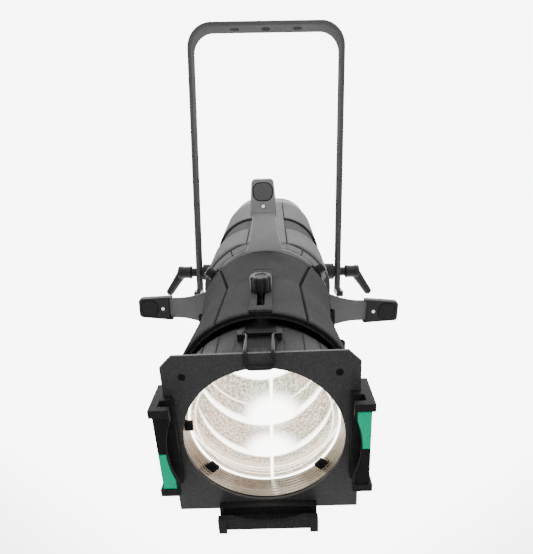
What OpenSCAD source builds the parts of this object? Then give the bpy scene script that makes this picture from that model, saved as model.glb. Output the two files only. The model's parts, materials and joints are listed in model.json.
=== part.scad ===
// Ellipsoidal spotlight on a U yoke: LED head, turning barrel, framing shutters and a focusing lens tube.
// Head parts are drawn along the optical axis and then tilted about the pivot, nose down.

/* [Yoke] */
// Outside width of the U yoke
yoke_w = 248; // [240:1:260]
// Height from the tilt pivot to the top of the yoke
yoke_h = 398; // [380:1:420]
// Thickness of the yoke bar
yoke_t = 6; // [5:0.5:8]
// Width of the yoke bar, front to back
yoke_bar = 32; // [28:1:36]
// Outside radius of the yoke's top corners
yoke_corner = 38; // [25:1:50]
// Radius of the hanging bolt hole and the two holes beside it
hang_hole_r = 7.5; // [5:0.25:8]
// Distance from the middle hanging hole to each hole beside it
hang_hole_gap = 50; // [40:1:60]

/* [Pose as hung] */
// Angle that the head points below level
head_tilt = 10; // [0:1:30]
// Turn of the barrel about the optical axis
barrel_turn = 2; // [0:0.1:6]

/* [Housing] */
// Half of the housing's width and height
housing_half = 89; // [88:0.25:89.5]
// Corner radius of the housing's section
housing_corner = 68; // [67:0.5:70]
// Wall of the two housing shells
housing_wall = 3; // [2.75:0.25:3.25]
// Length of the housing behind the pivot
housing_back = 182; // [176:1:190]
// Length of the rear cover behind the housing
rear_len = 84; // [78:1:90]

/* [Barrel] */
// Distance from the pivot to the rear edge of the barrel
barrel_rear_s = 166; // [166:0.5:167]
// Distance from the pivot to the barrel's narrow neck
barrel_neck_s = 246; // [242:1:250]
// Distance from the pivot to the barrel's front edge
barrel_front_s = 356; // [352:1:358]
// Outside radius of the barrel at both ends
barrel_r = 87; // [86.5:0.25:87.5]
// Outside radius of the barrel at its neck
neck_r = 79.5; // [79.25:0.25:80]
// Wall of the barrel's two halves
barrel_wall = 3; // [3:0.25:3.5]

/* [Lens tube] */
// Outside radius of the sliding lens tube
tube_r = 74; // [73:0.25:74]
// Radius of the moulded head at the front of the tube
tube_head_r = 80; // [79:0.5:81]
// Distance from the pivot to the front face of the colour frame
frame_s = 412; // [410:1:414]
// Side of the square colour frame
frame_side = 158.75; // [156:0.25:159]
// Radius of the colour frame's aperture
frame_hole_r = 68; // [66:0.5:69]

/* [Shutters] */
// Distance from the optical axis to the root of each shutter handle
handle_root = 137; // [134:1:140]
// Length of each shutter handle
handle_len = 43; // [40:1:46]
// Width of each shutter handle
handle_w = 34; // [32:1:38]
// Thickness of a shutter blade
blade_t = 1.2; // [1:0.1:1.4]

/* [Hidden] */
$fn = 64;

pivot_drop = yoke_h - yoke_t / 2;
yoke_inner_r = yoke_corner - yoke_t;
leg_drop = 32;
leg_holes = [[115, 7], [158, 5.5]];
leg_inner_x = yoke_w / 2 - yoke_t;
running_gap = 0.06;
free_gap = 0.4;

// Pivot hardware, measured along the pivot axis from the middle of the head
pivot_bolt_r = 5;
bracket_r = 14;
bracket_out = leg_inner_x - free_gap;
bracket_flange_t = 5;
bracket_flange_y = 36;
bracket_flange_z = 20;
pivot_bolt_grip = 16;
lever_collar_r = 7.5;
lever_collar_len = 10;
lever_hub_r = 10.8;
lever_hub_len = 24;
lever_start = yoke_w / 2 + free_gap;
lever_hub_x = lever_start + lever_collar_len;
lever_arm_r = 6.3;
lever_arm_len = 44;
lever_arm_angle = 145;

// Stations along the optical axis, measured forward from the pivot
housing_front_s = 148;
nose_start_s = 92;
gate_s = 138;
collar_r = 62;
condenser_s = 40;
condenser_r = 52;
sink_front_s = -14;
sink_len = 106;
sink_r = 62;
rod_at = 57;
fan_s = -152;
fan_t = 25;
vent_rear_s = -30;
vent_front_s = 50;
screw_seat_r = 95.4;
rear_end_s = -housing_back - rear_len;
rear_half = 84;
rear_corner = 62;
rear_wall = 3;
spigot_len = 10;
panel_z = 34;

// Shutter stack: four blade layers between two plates
shutter_rear_s = 153.2;
shutter_plate_t = 1.5;
blade_pitch = 2.3;
shutter_front_s = barrel_rear_s - shutter_plate_t - free_gap;
gate_hole_r = 38;
top_turn = -1.3;
bottom_turn = 180;
left_turn = -88.8;
right_turn = 90;
post_r = 3;
post_at = 57;

tube_rear_s = 196;
lens_r = 70.6;
lens_edge = 6;
lens_ball = 150;
lens_ring_s = 392.8;
lens_ring_t = 4;
lens_ring_r = 67;
rear_lens_s = 262;
front_lens_s = 383;
tube_head_s = 366;
frame_t = 2;
tube_front_s = frame_s - frame_t - 0.5;
boss_x = 81;
boss_r = 7;
boss_h = 16;
screw_head_z = 8;
boss_stations = [204, 286];
turn_knob_angle = 52;
turn_knob_s = 160;
lug_top = 89;
slide_gap = 0.35;
tube_flat = 77;
rail_gap = 0.6;
rail_len = 86;
rail_foot = 7;
rail_rear_s = 396;
rail_mid_s = 418;
accessory_s = 418;
accessory_w = 8;
rail_front_s = 430;
rail_in = 71.5;
rail_out = 85;
rail_foot_out = 87.5;
rail_bore_r = 78;
label_sink = 0.8;
frame_hole_drop = 2;

knob_s = 310;
stud_r = 2.9;
knob_r = 10.4;
knob_h = 15.5;
ridge_top = 90.5;
ridge_half = 10.5;
slot_half = 3.6;
slot_rear_s = 279;
slot_front_s = 346;
bail_pivot_s = 386;
bail_pivot_z = 81.5;
bail_half = 11;
bail_wire_r = 1.5;
bail_reach = 29;
bail_fall = 14;

// ---- Places -------------------------------------------------------------------------------------

// Moves children from the pivot's own level frame into the part's frame
module at_pivot() translate([0, 0, -pivot_drop]) children();

// Tilts children, drawn along the level optical axis, to the head's pose
module head_pose() at_pivot() rotate([head_tilt, 0, 0]) children();

// Adds the barrel's turn about the optical axis
module barrel_pose() head_pose() rotate([0, -barrel_turn, 0]) children();

// Stands a child's XY plane square to the optical axis at station s, with its +Z pointing forward
module station(s) translate([0, -s, 0]) rotate([90, 0, 0]) children();

// Repeats children on both sides of the middle plane
module both_sides() {
    children();
    mirror([1, 0, 0]) children();
}

// ---- Shapes -------------------------------------------------------------------------------------

// Square of the given half width with round corners, drawn with true arcs
module round_square(half, corner) {
    flat = half - corner;
    square([2 * half, 2 * flat], center = true);
    square([2 * flat, 2 * half], center = true);
    for (x = [-flat, flat], y = [-flat, flat]) translate([x, y]) circle(corner);
}

// Rectangle with round corners, drawn with true arcs
module round_rect(w, h, corner) {
    square([w, h - 2 * corner], center = true);
    square([w - 2 * corner, h], center = true);
    for (x = [-1, 1], y = [-1, 1]) translate([x * (w / 2 - corner), y * (h / 2 - corner)]) circle(corner);
}

// Flat ring from station s forward
module ring(s, outer_r, inner_r, t) {
    station(s) difference() {
        cylinder(h = t, r = outer_r);
        translate([0, 0, -1]) cylinder(h = t + 2, r = inner_r);
    }
}

// Rod along X from x0 to x1
module x_rod(r, x0, x1) translate([x0, 0, 0]) rotate([0, 90, 0]) cylinder(h = x1 - x0, r = r);

// Half space above or below the optical axis, for splitting the barrel and the housing
module half_block(side) {
    reach = 400;
    translate([-reach, -2 * reach, side > 0 ? 0.05 : -reach - 0.05]) cube([2 * reach, 4 * reach, reach]);
}

// ---- Yoke ---------------------------------------------------------------------------------------

module yoke_outline(w, h, corner) {
    translate([-w / 2, 0]) square([w, h - corner]);
    translate([corner - w / 2, 0]) square([w - 2 * corner, h]);
    for (x = [-1, 1]) translate([x * (w / 2 - corner), h - corner]) circle(corner);
}

module yoke() {
    color("#3a3b3d") at_pivot() difference() {
        union() {
            rotate([90, 0, 0]) translate([0, 0, -yoke_bar / 2]) linear_extrude(yoke_bar) difference() {
                yoke_outline(yoke_w, yoke_h, yoke_corner);
                translate([0, -1]) yoke_outline(yoke_w - 2 * yoke_t, yoke_h + 1 - yoke_t, yoke_inner_r);
            }
            both_sides() translate([leg_inner_x, -yoke_bar / 2, -leg_drop])
                cube([yoke_t, yoke_bar, leg_drop + 1]);
        }
        both_sides() x_rod(pivot_bolt_r + running_gap, leg_inner_x - 1, yoke_w / 2 + 1);
        for (i = [-1, 0, 1]) translate([i * hang_hole_gap, 0, yoke_h - yoke_t - 1])
            cylinder(h = yoke_t + 2, r = hang_hole_r);
        both_sides() for (hole = leg_holes) translate([0, 0, hole[0]])
            x_rod(hole[1], leg_inner_x - 1, yoke_w / 2 + 1);
    }
}

// Moulded blocks that close the lower ends of the two legs
module yoke_end_caps() {
    cap_wall = 2.2;
    cap_h = 9;
    color("#141415") at_pivot() both_sides()
        translate([leg_inner_x, -yoke_bar / 2 - cap_wall, -leg_drop - cap_h])
            cube([yoke_t + cap_wall + 3, yoke_bar + 2 * cap_wall, cap_h]);
}

// ---- Tilt pivot ---------------------------------------------------------------------------------

// Bosses on the sides of the housing that carry the pivot bolts
module tilt_brackets() {
    color("#202123") head_pose() both_sides() difference() {
        union() {
            x_rod(bracket_r, housing_half, bracket_out - 4);
            x_rod(bracket_r - 4, housing_half, bracket_out);
            translate([housing_half, -bracket_flange_y, -bracket_flange_z])
                cube([bracket_flange_t, 2 * bracket_flange_y, 2 * bracket_flange_z]);
        }
        x_rod(pivot_bolt_r, bracket_out - pivot_bolt_grip, bracket_out + 1);
        bracket_screw_places() x_rod(2.2, housing_half - 1, housing_half + bracket_flange_t + 1);
    }
}

module bracket_screw_places() for (y = [-1, 1], z = [-1, 1]) translate([0, y * 30, z * 14]) children();

// Bolts through the legs, fixed in the bosses, that the levers screw on to
module pivot_bolts() {
    color("#b9bcc0") head_pose() both_sides()
        x_rod(pivot_bolt_r, bracket_out - pivot_bolt_grip, lever_hub_x + 6);
}

// Ratchet lever: collar and fluted hub on the bolt, and an arm that leans out and down
module tilt_lever() {
    hub_end = lever_hub_x + lever_hub_len;
    difference() {
        union() {
            x_rod(lever_collar_r, lever_start, lever_hub_x + 0.1);
            x_rod(lever_hub_r, lever_hub_x, hub_end);
            translate([hub_end - 7, 0, 0]) rotate([0, lever_arm_angle, 0]) {
                cylinder(h = lever_arm_len, r = lever_arm_r);
                translate([0, 0, lever_arm_len]) sphere(lever_arm_r);
            }
        }
        x_rod(pivot_bolt_r + running_gap, lever_start - 1, lever_hub_x + 6.5);
        x_rod(4.2, hub_end - 6, hub_end + 1);
        for (a = [0:30:330]) rotate([a, 0, 0]) translate([0, 0, lever_hub_r + 0.6])
            x_rod(1.4, lever_hub_x + 3, hub_end - 9);
    }
}

module lever_screw() {
    hub_end = lever_hub_x + lever_hub_len;
    difference() {
        x_rod(4.2, hub_end - 6, hub_end - 1);
        x_rod(1.8, hub_end - 3.5, hub_end);
    }
}

module right_tilt_lever() color("#1c1c1e") head_pose() tilt_lever();
module left_tilt_lever() color("#1c1c1e") head_pose() mirror([1, 0, 0]) tilt_lever();
module right_lever_screw() color("#c4c6c9") head_pose() lever_screw();
module left_lever_screw() color("#c4c6c9") head_pose() mirror([1, 0, 0]) lever_screw();

// ---- Housing ------------------------------------------------------------------------------------

// Solid envelope of the housing, shrunk by inset: a round-cornered box that tapers to a round nose
module housing_form(inset) {
    back = -housing_back + (inset > 0 ? -1 : 0);
    front = housing_front_s - back;
    nose_r = barrel_r + 1 - inset;
    corner_reach = 116 - inset;
    station(back) intersection() {
        linear_extrude(front + (inset > 0 ? 1 : 0))
            round_square(housing_half - inset, housing_corner - inset);
        rotate_extrude() polygon([
            [0, -1],
            [corner_reach, -1],
            [corner_reach, nose_start_s - back],
            [nose_r, front],
            [nose_r, front + 2],
            [0, front + 2]
        ]);
    }
}

module housing_shell(side) {
    difference() {
        intersection() {
            housing_form(0);
            half_block(side);
        }
        housing_form(housing_wall);
        housing_screw_places() {
            translate([0, 0, screw_seat_r - 10]) cylinder(h = 20, r = 2);
            translate([0, 0, screw_seat_r]) cylinder(h = 12, r = 4.3);
        }
        vent_windows(side > 0 ? 0 : 180);
    }
}

// Screws that hold the two shells to the frame inside, with +Z pointing out of the skin
module housing_screw_places() {
    for (s = [-60, -150], a = [55, 125, 235, 305]) rotate([0, a, 0]) translate([0, -s, 0]) children();
}

// Curved openings in the shell, either side of the middle
module vent_windows(turn) {
    both_sides() rotate([0, turn, 0])
        translate([24, -vent_front_s, 40]) cube([58, vent_front_s - vent_rear_s, 80]);
}

module housing_upper() color("#7b7e82") head_pose() housing_shell(1);
module housing_lower() color("#7b7e82") head_pose() housing_shell(-1);

module housing_screws() {
    color("#2a2a2c") head_pose() {
        housing_screw_places() {
            translate([0, 0, screw_seat_r - 9]) cylinder(h = 9.1, r = 1.95);
            translate([0, 0, screw_seat_r]) cylinder(h = 2, r = 4);
        }
        both_sides() bracket_screw_places() {
            x_rod(2.15, housing_half, housing_half + bracket_flange_t + 0.1);
            x_rod(4, housing_half + bracket_flange_t, housing_half + bracket_flange_t + 2.5);
        }
    }
}

// Dark perforated screens behind the vent openings
module vent_screens() {
    inset = housing_wall + 0.3;
    color("#37393c") head_pose() for (turn = [0, 180]) difference() {
        intersection() {
            housing_form(inset);
            both_sides() rotate([0, turn, 0])
                translate([21, -vent_front_s - 3, 37]) cube([64, vent_front_s - vent_rear_s + 6, 80]);
        }
        housing_form(inset + 2);
    }
}

// Stepped ring at the nose of the housing, in front of which the barrel turns
module front_ring() {
    color("#8c8f93") head_pose() {
        ring(housing_front_s, barrel_r + 1, collar_r + running_gap, 1.9);
        ring(housing_front_s + 1.8, barrel_r - 3, collar_r + running_gap, 1.6);
    }
}

// Aperture plate behind the shutters, with the light hood that runs back to the condenser
module gate_plate() {
    hood_len = gate_s - condenser_s;
    plate_t = 2;
    plate_r = 85.4;
    hood_t = 3;
    color("#232325") head_pose() station(condenser_s) rotate_extrude() polygon([
        [condenser_r + 0.3, 0],
        [condenser_r + hood_t, 0],
        [condenser_r + hood_t, 16],
        [gate_hole_r + hood_t, hood_len],
        [plate_r, hood_len],
        [plate_r, hood_len + plate_t],
        [gate_hole_r, hood_len + plate_t],
        [condenser_r - 2, 14],
        [condenser_r + 0.3, 14]
    ]);
}

// ---- Light engine -------------------------------------------------------------------------------

// Plano-convex lens that gathers the light of the board
module condenser_lens() {
    ball = 96;
    ball_s = condenser_s + 12.5 - sqrt(ball * ball - condenser_r * condenser_r);
    color("#dfe8ee") head_pose() intersection() {
        station(condenser_s) cylinder(h = 40, r = condenser_r);
        station(ball_s) sphere(r = ball, $fn = 128);
    }
}

module led_board() {
    color("#1f5b3a") head_pose() station(sink_front_s) difference() {
        cylinder(h = 2, r = 50);
        for (a = [45:90:315]) rotate(a) translate([44, 0, -1]) cylinder(h = 4, r = 1.8);
    }
}

// Emitters in rings round a middle one
module led_array() {
    color("#f2e9b8") head_pose() station(sink_front_s + 2) {
        cylinder(h = 2.2, r = 3);
        for (k = [1:3], i = [0:6 * k - 1]) rotate(i * 60 / k)
            translate([k * 11, 0, 0]) cylinder(h = 2.2, r = 3);
    }
}

// Finned block behind the board, its base carrying the tie rods
module heat_sink() {
    fin_count = 14;
    fin_pitch = 9;
    fin_t = 2.4;
    base_t = 8;
    color("#a9acb0") head_pose() station(sink_front_s - sink_len) {
        translate([0, 0, sink_len - base_t]) linear_extrude(base_t) round_square(sink_r + 2, 8);
        for (i = [0:fin_count - 1]) {
            x = (i - (fin_count - 1) / 2) * fin_pitch;
            h = 2 * sqrt(sink_r * sink_r - x * x);
            translate([x - fin_t / 2, -h / 2, 0]) cube([fin_t, h, sink_len - base_t + 0.1]);
        }
    }
}

// Rods between the heat sink's base and the aperture plate
module tie_rods() {
    color("#b9bcc0") head_pose() station(sink_front_s) for (x = [-rod_at, rod_at], y = [-rod_at, rod_at])
        translate([x, y, 0]) cylinder(h = gate_s - sink_front_s, r = 4);
}

module fan_frame() {
    color("#19191a") head_pose() station(fan_s) {
        difference() {
            linear_extrude(fan_t) round_square(60, 6);
            translate([0, 0, -1]) cylinder(h = fan_t + 2, r = 57);
        }
        cylinder(h = 3, r = 18);
        cylinder(h = 15, r = 2.5);
        for (a = [45:90:315]) rotate(a) translate([17, -2, 0]) cube([44, 4, 3]);
    }
}

// Hub and blades, clear of the frame's spider and turning on its pin
module fan_rotor() {
    blade_count = 7;
    color("#222224") head_pose() station(fan_s + 3.6) difference() {
        union() {
            cylinder(h = 18, r = 19);
            for (i = [0:blade_count - 1]) rotate(i * 360 / blade_count)
                translate([18, 0, 9]) rotate([38, 0, 0]) translate([0, -1, -8]) cube([36, 2, 16]);
        }
        translate([0, 0, -1]) cylinder(h = 14, r = 2.5 + running_gap);
    }
}

module driver_board() {
    color("#1f5b3a") head_pose() station(rear_end_s + 62) {
        translate([-62, -48, 0]) cube([124, 96, 1.6]);
        for (x = [-44, -10, 24]) translate([x, -20, 1.5]) cube([18, 30, 12]);
        for (y = [-40, 20]) translate([-56, y, 1.5]) cube([10, 16, 9]);
    }
}

// ---- Rear cover ---------------------------------------------------------------------------------

module rear_cover() {
    spigot_half = housing_half - housing_wall - free_gap;
    color("#2a2b2d") head_pose() difference() {
        station(rear_end_s) {
            linear_extrude(rear_len - 0.5) round_square(rear_half, rear_corner);
            translate([0, 0, rear_len - 1]) linear_extrude(spigot_len)
                round_square(spigot_half, housing_corner - housing_wall - free_gap);
        }
        station(rear_end_s + rear_wall) linear_extrude(rear_len + spigot_len)
            round_square(rear_half - rear_wall, rear_corner - rear_wall);
        station(rear_end_s - 1) {
            translate([0, panel_z]) linear_extrude(5) square([62, 26], center = true);
            button_places() cylinder(h = 6, r = 4);
            connector_places() cylinder(h = 6, r = 11);
        }
        both_sides() for (i = [0:7]) translate([rear_half - 16, -rear_end_s - 62, 9 * i - 34])
            cube([30, 44, 4]);
    }
}

module button_places() for (i = [0:3]) translate([18 * i - 27, 8, 0]) children();
module connector_places() for (i = [0:3]) translate([36 * i - 54, -32, 0]) children();

// Perforated plates inside the side louvres
module rear_grille() {
    plate_x = rear_half - rear_wall - 2.3;
    color("#1d1d1f") head_pose() both_sides() translate([plate_x, -rear_end_s - 64, -20]) difference() {
        cube([2, 48, 40]);
        for (y = [4:8:40], z = [3:7:31]) translate([-1, y, z]) cube([4, 5, 5]);
    }
}

module display() {
    color("#14202c") head_pose() station(rear_end_s) translate([0, panel_z, 0]) {
        translate([0, 0, 0.4]) linear_extrude(rear_wall) square([61.6, 25.6], center = true);
        translate([0, 0, rear_wall]) linear_extrude(1.6) square([68, 32], center = true);
    }
}

module panel_button(i) {
    color("#d6d8da") head_pose() station(rear_end_s) translate([18 * i - 27, 8, 0]) {
        translate([0, 0, -2.2]) cylinder(h = 8, r = 3.8);
        translate([0, 0, rear_wall + 0.1]) cylinder(h = 1.4, r = 5);
    }
}

module menu_button() panel_button(0);
module up_button() panel_button(1);
module down_button() panel_button(2);
module enter_button() panel_button(3);

// Round panel connector with a keyed well, its flange on the rear face
module panel_connector(i, well_r, pins) {
    head_pose() station(rear_end_s) translate([36 * i - 54, -32, 0]) {
        difference() {
            union() {
                translate([0, 0, -2.5]) linear_extrude(2.5) round_square(14.5, 3);
                translate([0, 0, -0.1]) cylinder(h = 20, r = 10.8);
            }
            translate([0, 0, -3]) cylinder(h = 17, r = well_r);
        }
        for (p = [0:pins - 1]) rotate(p * 360 / pins) translate([well_r * 0.55, 0, 2])
            cylinder(h = 13, r = 1);
    }
}

module power_inlet() color("#2f5fae") panel_connector(0, 8.6, 3);
module power_outlet() color("#b9bcc0") panel_connector(1, 8.6, 3);
module data_inlet() color("#8f9296") panel_connector(2, 7.6, 5);
module data_outlet() color("#6f7276") panel_connector(3, 7.6, 5);

// Steel eye for the safety cable, on top of the rear cover
module safety_loop() {
    eye_r = 12;
    wire_r = 3;
    color("#b9bcc0") head_pose() translate([0, -rear_end_s - 44, rear_half]) {
        for (x = [-eye_r, eye_r]) translate([x, 0, 0]) cylinder(h = 8, r = wire_r);
        translate([0, 0, 8]) rotate([90, 0, 0]) intersection() {
            rotate_extrude() translate([eye_r, 0]) circle(wire_r);
            translate([-30, 0, -10]) cube([60, 30, 20]);
        }
    }
}

// ---- Barrel -------------------------------------------------------------------------------------

function barrel_skin(inset) = [
    [barrel_r - inset, 0],
    [barrel_r - inset, 8],
    [neck_r - inset, barrel_neck_s - barrel_rear_s],
    [barrel_r - inset, barrel_front_s - barrel_rear_s]
];

module barrel_solid(inset, ends) {
    skin = barrel_skin(inset);
    station(barrel_rear_s - ends) rotate_extrude() polygon(concat(
        [[0, 0], [skin[0][0], 0]],
        [for (p = skin) [p[0], p[1] + ends]],
        [[skin[3][0], skin[3][1] + 2 * ends], [0, skin[3][1] + 2 * ends]]
    ));
}

// Guide lands inside the barrel that the lens tube slides in, and the flange at its rear
module barrel_guides() {
    land_r = tube_r + slide_gap;
    ring(barrel_rear_s + 60, neck_r, land_r, 8);
    ring(barrel_front_s - 50, barrel_r - 4, land_r, 6);
    ring(barrel_rear_s, barrel_r - 1, 66, 2.5);
}

module barrel_half(side) {
    difference() {
        union() {
            intersection() {
                union() {
                    difference() {
                        barrel_solid(0, 0);
                        barrel_solid(barrel_wall, 1);
                    }
                    barrel_guides();
                }
                half_block(side);
            }
            screw_bosses(side);
            if (side > 0) {
                slot_ridge();
                turn_lugs();
            }
        }
        if (side > 0) {
            translate([-slot_half, -slot_front_s, tube_r - 4])
                cube([2 * slot_half, slot_front_s - slot_rear_s, 40]);
            turn_knob_places() cylinder(h = 40, r = 2.5 + running_gap, center = true);
            boss_places() {
                translate([0, 0, -1]) cylinder(h = screw_head_z + 2, r = 2.2);
                translate([0, 0, screw_head_z]) cylinder(h = 30, r = 4.5);
            }
        } else {
            boss_places() translate([0, 0, -13]) cylinder(h = 14, r = 2.2);
        }
    }
}

// Places of the clamp screws along the barrel's side seams
module boss_places() {
    both_sides() for (s = boss_stations) translate([boss_x, -s, 0]) children();
}

// Bosses for the clamp screws, cut back inside to let the lens tube pass
module screw_bosses(side) {
    difference() {
        boss_places() translate([0, 0, side > 0 ? 0.05 : -boss_h - 0.05])
            cylinder(h = boss_h, r = boss_r);
        station(barrel_rear_s) cylinder(h = barrel_front_s - barrel_rear_s, r = tube_r + 1.2);
    }
}

// Lugs that reach back over the shutters from the barrel's rear edge and take the turn knobs
module turn_lugs() {
    turn_knob_places() translate([-8, -9.5, -4.4]) cube([16, 16, 4.4]);
}

module turn_knob_place(side)
    rotate([0, side * turn_knob_angle, 0]) translate([0, -turn_knob_s, lug_top]) children();

module turn_knob_places() for (side = [-1, 1]) turn_knob_place(side) children();

// Raised ridge with the focus slot on top of the barrel
module slot_ridge() {
    difference() {
        translate([-ridge_half, -barrel_front_s + 0.5, 70])
            cube([2 * ridge_half, 110, ridge_top - 70]);
        barrel_solid(barrel_wall / 2, 1);
    }
}

module barrel_upper() color("#47484b") barrel_pose() barrel_half(1);
module barrel_lower() color("#47484b") barrel_pose() barrel_half(-1);

module barrel_screws() {
    color("#8f9296") barrel_pose() boss_places() {
        translate([0, 0, -12]) cylinder(h = screw_head_z + 12.5, r = 2.15);
        translate([0, 0, screw_head_z]) cylinder(h = 4, r = 4.3);
    }
}

// ---- Shutters -----------------------------------------------------------------------------------

module shutter_plate(s) {
    difference() {
        ring(s, barrel_r - 3, gate_hole_r, shutter_plate_t);
        shutter_post_places(s - 1) cylinder(h = 6, r = post_r);
    }
}

module shutter_post_places(s)
    for (x = [-post_at, post_at], y = [-post_at, post_at]) station(s) translate([x, y, 0]) children();

// Rear plate with the collar that turns in the housing's front ring
module shutter_rear_plate() {
    collar_back = housing_front_s - 2.5;
    color("#8b8e92") barrel_pose() {
        shutter_plate(shutter_rear_s);
        ring(collar_back, collar_r, collar_r - 4, shutter_rear_s - collar_back + 0.1);
        ring(collar_back - 2, collar_r + 3, collar_r - 4, 2.1);
    }
}

module shutter_front_plate() color("#8b8e92") barrel_pose() shutter_plate(shutter_front_s);

module shutter_posts() {
    color("#b9bcc0") barrel_pose() shutter_post_places(shutter_rear_s)
        cylinder(h = barrel_rear_s - shutter_rear_s, r = post_r);
}

// Blade drawn pointing up, with a wide mask at the gate and a narrow tail that runs out to the handle
module blade_outline() {
    mask_half = 42;
    mask_in = gate_hole_r + 1;
    tail_in = 25;
    tail_out = 15;
    right = [
        [mask_half, mask_in],
        [mask_half, mask_in + 24],
        [tail_in, mask_in + 40],
        [tail_in, 86],
        [18.5, 98],
        [tail_out + 0.6, 112],
        [tail_out, handle_root + 14]
    ];
    left = [for (i = [len(right) - 1:-1:0]) [-right[i][0], right[i][1]]];
    polygon(concat(right, left));
}

module shutter(turn, layer) {
    s = shutter_rear_s + shutter_plate_t + 0.5 + layer * blade_pitch;
    head_pose() rotate([0, turn, 0]) station(s) children();
}

module blade(turn, layer) color("#8b8e92") shutter(turn, layer) linear_extrude(blade_t) blade_outline();

// Moulded grip on the blade's tail, with a thumb pad sunk in its front
module handle(turn, layer) {
    grip_t = 9;
    middle = handle_root + handle_len / 2;
    color("#2b2c2e") shutter(turn, layer) translate([0, middle, (blade_t - grip_t) / 2]) difference() {
        linear_extrude(grip_t) round_rect(handle_w, handle_len, 8);
        for (z = [grip_t - 1.2, -1.8]) translate([0, 6, z]) linear_extrude(3) round_rect(23, 22, 8);
        translate([0, 7 - handle_len / 2, grip_t / 2]) cube([30.6, 16, blade_t + 0.1], center = true);
    }
}

module top_blade() blade(top_turn, 1);
module top_handle() handle(top_turn, 1);
module bottom_blade() blade(bottom_turn, 2);
module bottom_handle() handle(bottom_turn, 2);
module left_blade() blade(left_turn, 0);
module left_handle() handle(left_turn, 0);
module right_blade() blade(right_turn, 3);
module right_handle() handle(right_turn, 3);

// ---- Turn knobs ---------------------------------------------------------------------------------

// Small ribbed knob that locks the barrel's turn
module turn_knob(side) {
    color("#262628") barrel_pose() turn_knob_place(side) translate([0, 0, free_gap]) {
        difference() {
            cylinder(h = 11, r = 6.5);
            for (a = [0:30:330]) rotate(a) translate([7.2, 0, -1]) cylinder(h = 11, r = 1.2);
        }
        translate([0, 0, -4]) cylinder(h = 4.1, r = 2.5);
    }
}

module left_turn_knob() turn_knob(-1);
module right_turn_knob() turn_knob(1);

// ---- Lens tube ----------------------------------------------------------------------------------

// Tube with its wider head, and the seats behind the two lenses
module tube_profile() {
    length = tube_front_s - tube_rear_s;
    head_at = tube_head_s - tube_rear_s;
    station(tube_rear_s) rotate_extrude() polygon([
        [lens_r, 0],
        [tube_r, 0],
        [tube_r, head_at],
        [tube_head_r, head_at],
        [tube_head_r, length],
        [lens_r, length]
    ]);
    for (s = [rear_lens_s, front_lens_s]) ring(s - 3, tube_r - 1, 66, 3);
}

// Rail with two channels along one side of the square front, drawn on the +X side
module frame_rail() {
    depth = rail_front_s - rail_rear_s;
    foot_proud = 0.8;
    difference() {
        union() {
            translate([rail_in, -rail_front_s, -rail_len / 2]) cube([rail_out - rail_in, depth, rail_len]);
            for (z = [-rail_len / 2, rail_len / 2 - rail_foot])
                translate([rail_in, -rail_front_s - foot_proud, z])
                    cube([rail_foot_out - rail_in, depth + foot_proud, rail_foot]);
        }
        station(rail_mid_s) cylinder(h = 40, r = rail_bore_r);
        rail_channel(tube_front_s + 0.01, frame_s + rail_gap, frame_side / 2 + rail_gap);
        rail_channel(accessory_s, accessory_s + accessory_w, frame_side / 2 + 1.6);
        translate([rail_in + 2, -rail_front_s - 0.01, rail_foot - rail_len / 2])
            cube([rail_out, label_sink, rail_len - 2 * rail_foot]);
    }
}

// Channel across the rail from station s0 to s1, as deep as floor_x
module rail_channel(s0, s1, floor_x) translate([0, -s1, -300]) cube([floor_x, s1 - s0, 600]);

// One half of the tube, drawn on the +X side; tabs are the angles of its snap tabs from +X
module tube_half(tabs) {
    ear_x = bail_half + 2.5;
    ear_w = 5;
    head_len = tube_front_s + 2 - tube_head_s;
    difference() {
        union() {
            tube_profile();
            frame_rail();
            rotate([0, 90, 0]) frame_rail();
            translate([ear_x, -bail_pivot_s - 4, tube_flat - 2])
                cube([ear_w, 8, bail_pivot_z + 5 - tube_flat]);
            for (a = tabs) station(lens_ring_s + lens_ring_t + 0.2) rotate(a)
                translate([62, -4.5, 0]) cube([9, 9, 3]);
        }
        translate([-400, -600, -300]) cube([400.05, 800, 600]);
        translate([-15, -400, 73]) cube([29, 26, 20]);
        translate([-34, -tube_front_s - 1, tube_flat]) cube([34 + ear_x, head_len, 20]);
        translate([ear_x + ear_w, -tube_front_s - 1, tube_flat]) cube([14, head_len, 20]);
        translate([0, -bail_pivot_s, bail_pivot_z]) x_rod(bail_wire_r + running_gap, 0, bail_half + 6);
        translate([0, -knob_s, 60]) cylinder(h = 20, r = stud_r);
    }
}

module lens_tube_right() color("#2c2d2f") barrel_pose() tube_half([42, -42]);
module lens_tube_left() color("#2c2d2f") barrel_pose() mirror([1, 0, 0]) tube_half([2, -42]);

// Plano-convex lens, its dome to the front
module lens(s) {
    ball_s = s + lens_edge - sqrt(lens_ball * lens_ball - lens_r * lens_r);
    intersection() {
        station(s) cylinder(h = 40, r = lens_r - 0.1);
        station(ball_s) sphere(r = lens_ball, $fn = 128);
    }
}

module rear_lens() color("#eef4f6") barrel_pose() lens(rear_lens_s);
module front_lens() color("#eef4f6") barrel_pose() lens(front_lens_s);
module lens_ring() color("#9a9da0") barrel_pose() ring(lens_ring_s, lens_r - 0.1, lens_ring_r, lens_ring_t);

// Thin label plates sunk in the front faces of the two side rails
module angle_labels() {
    color("#00c98d") barrel_pose() both_sides() difference() {
        translate([rail_in + 2.2, -rail_front_s, rail_foot + 0.2 - rail_len / 2])
            cube([rail_out - rail_in - 2.2, label_sink - 0.2, rail_len - 2 * rail_foot - 0.4]);
        station(rail_mid_s) cylinder(h = 40, r = rail_bore_r + 0.5);
    }
}

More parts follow.
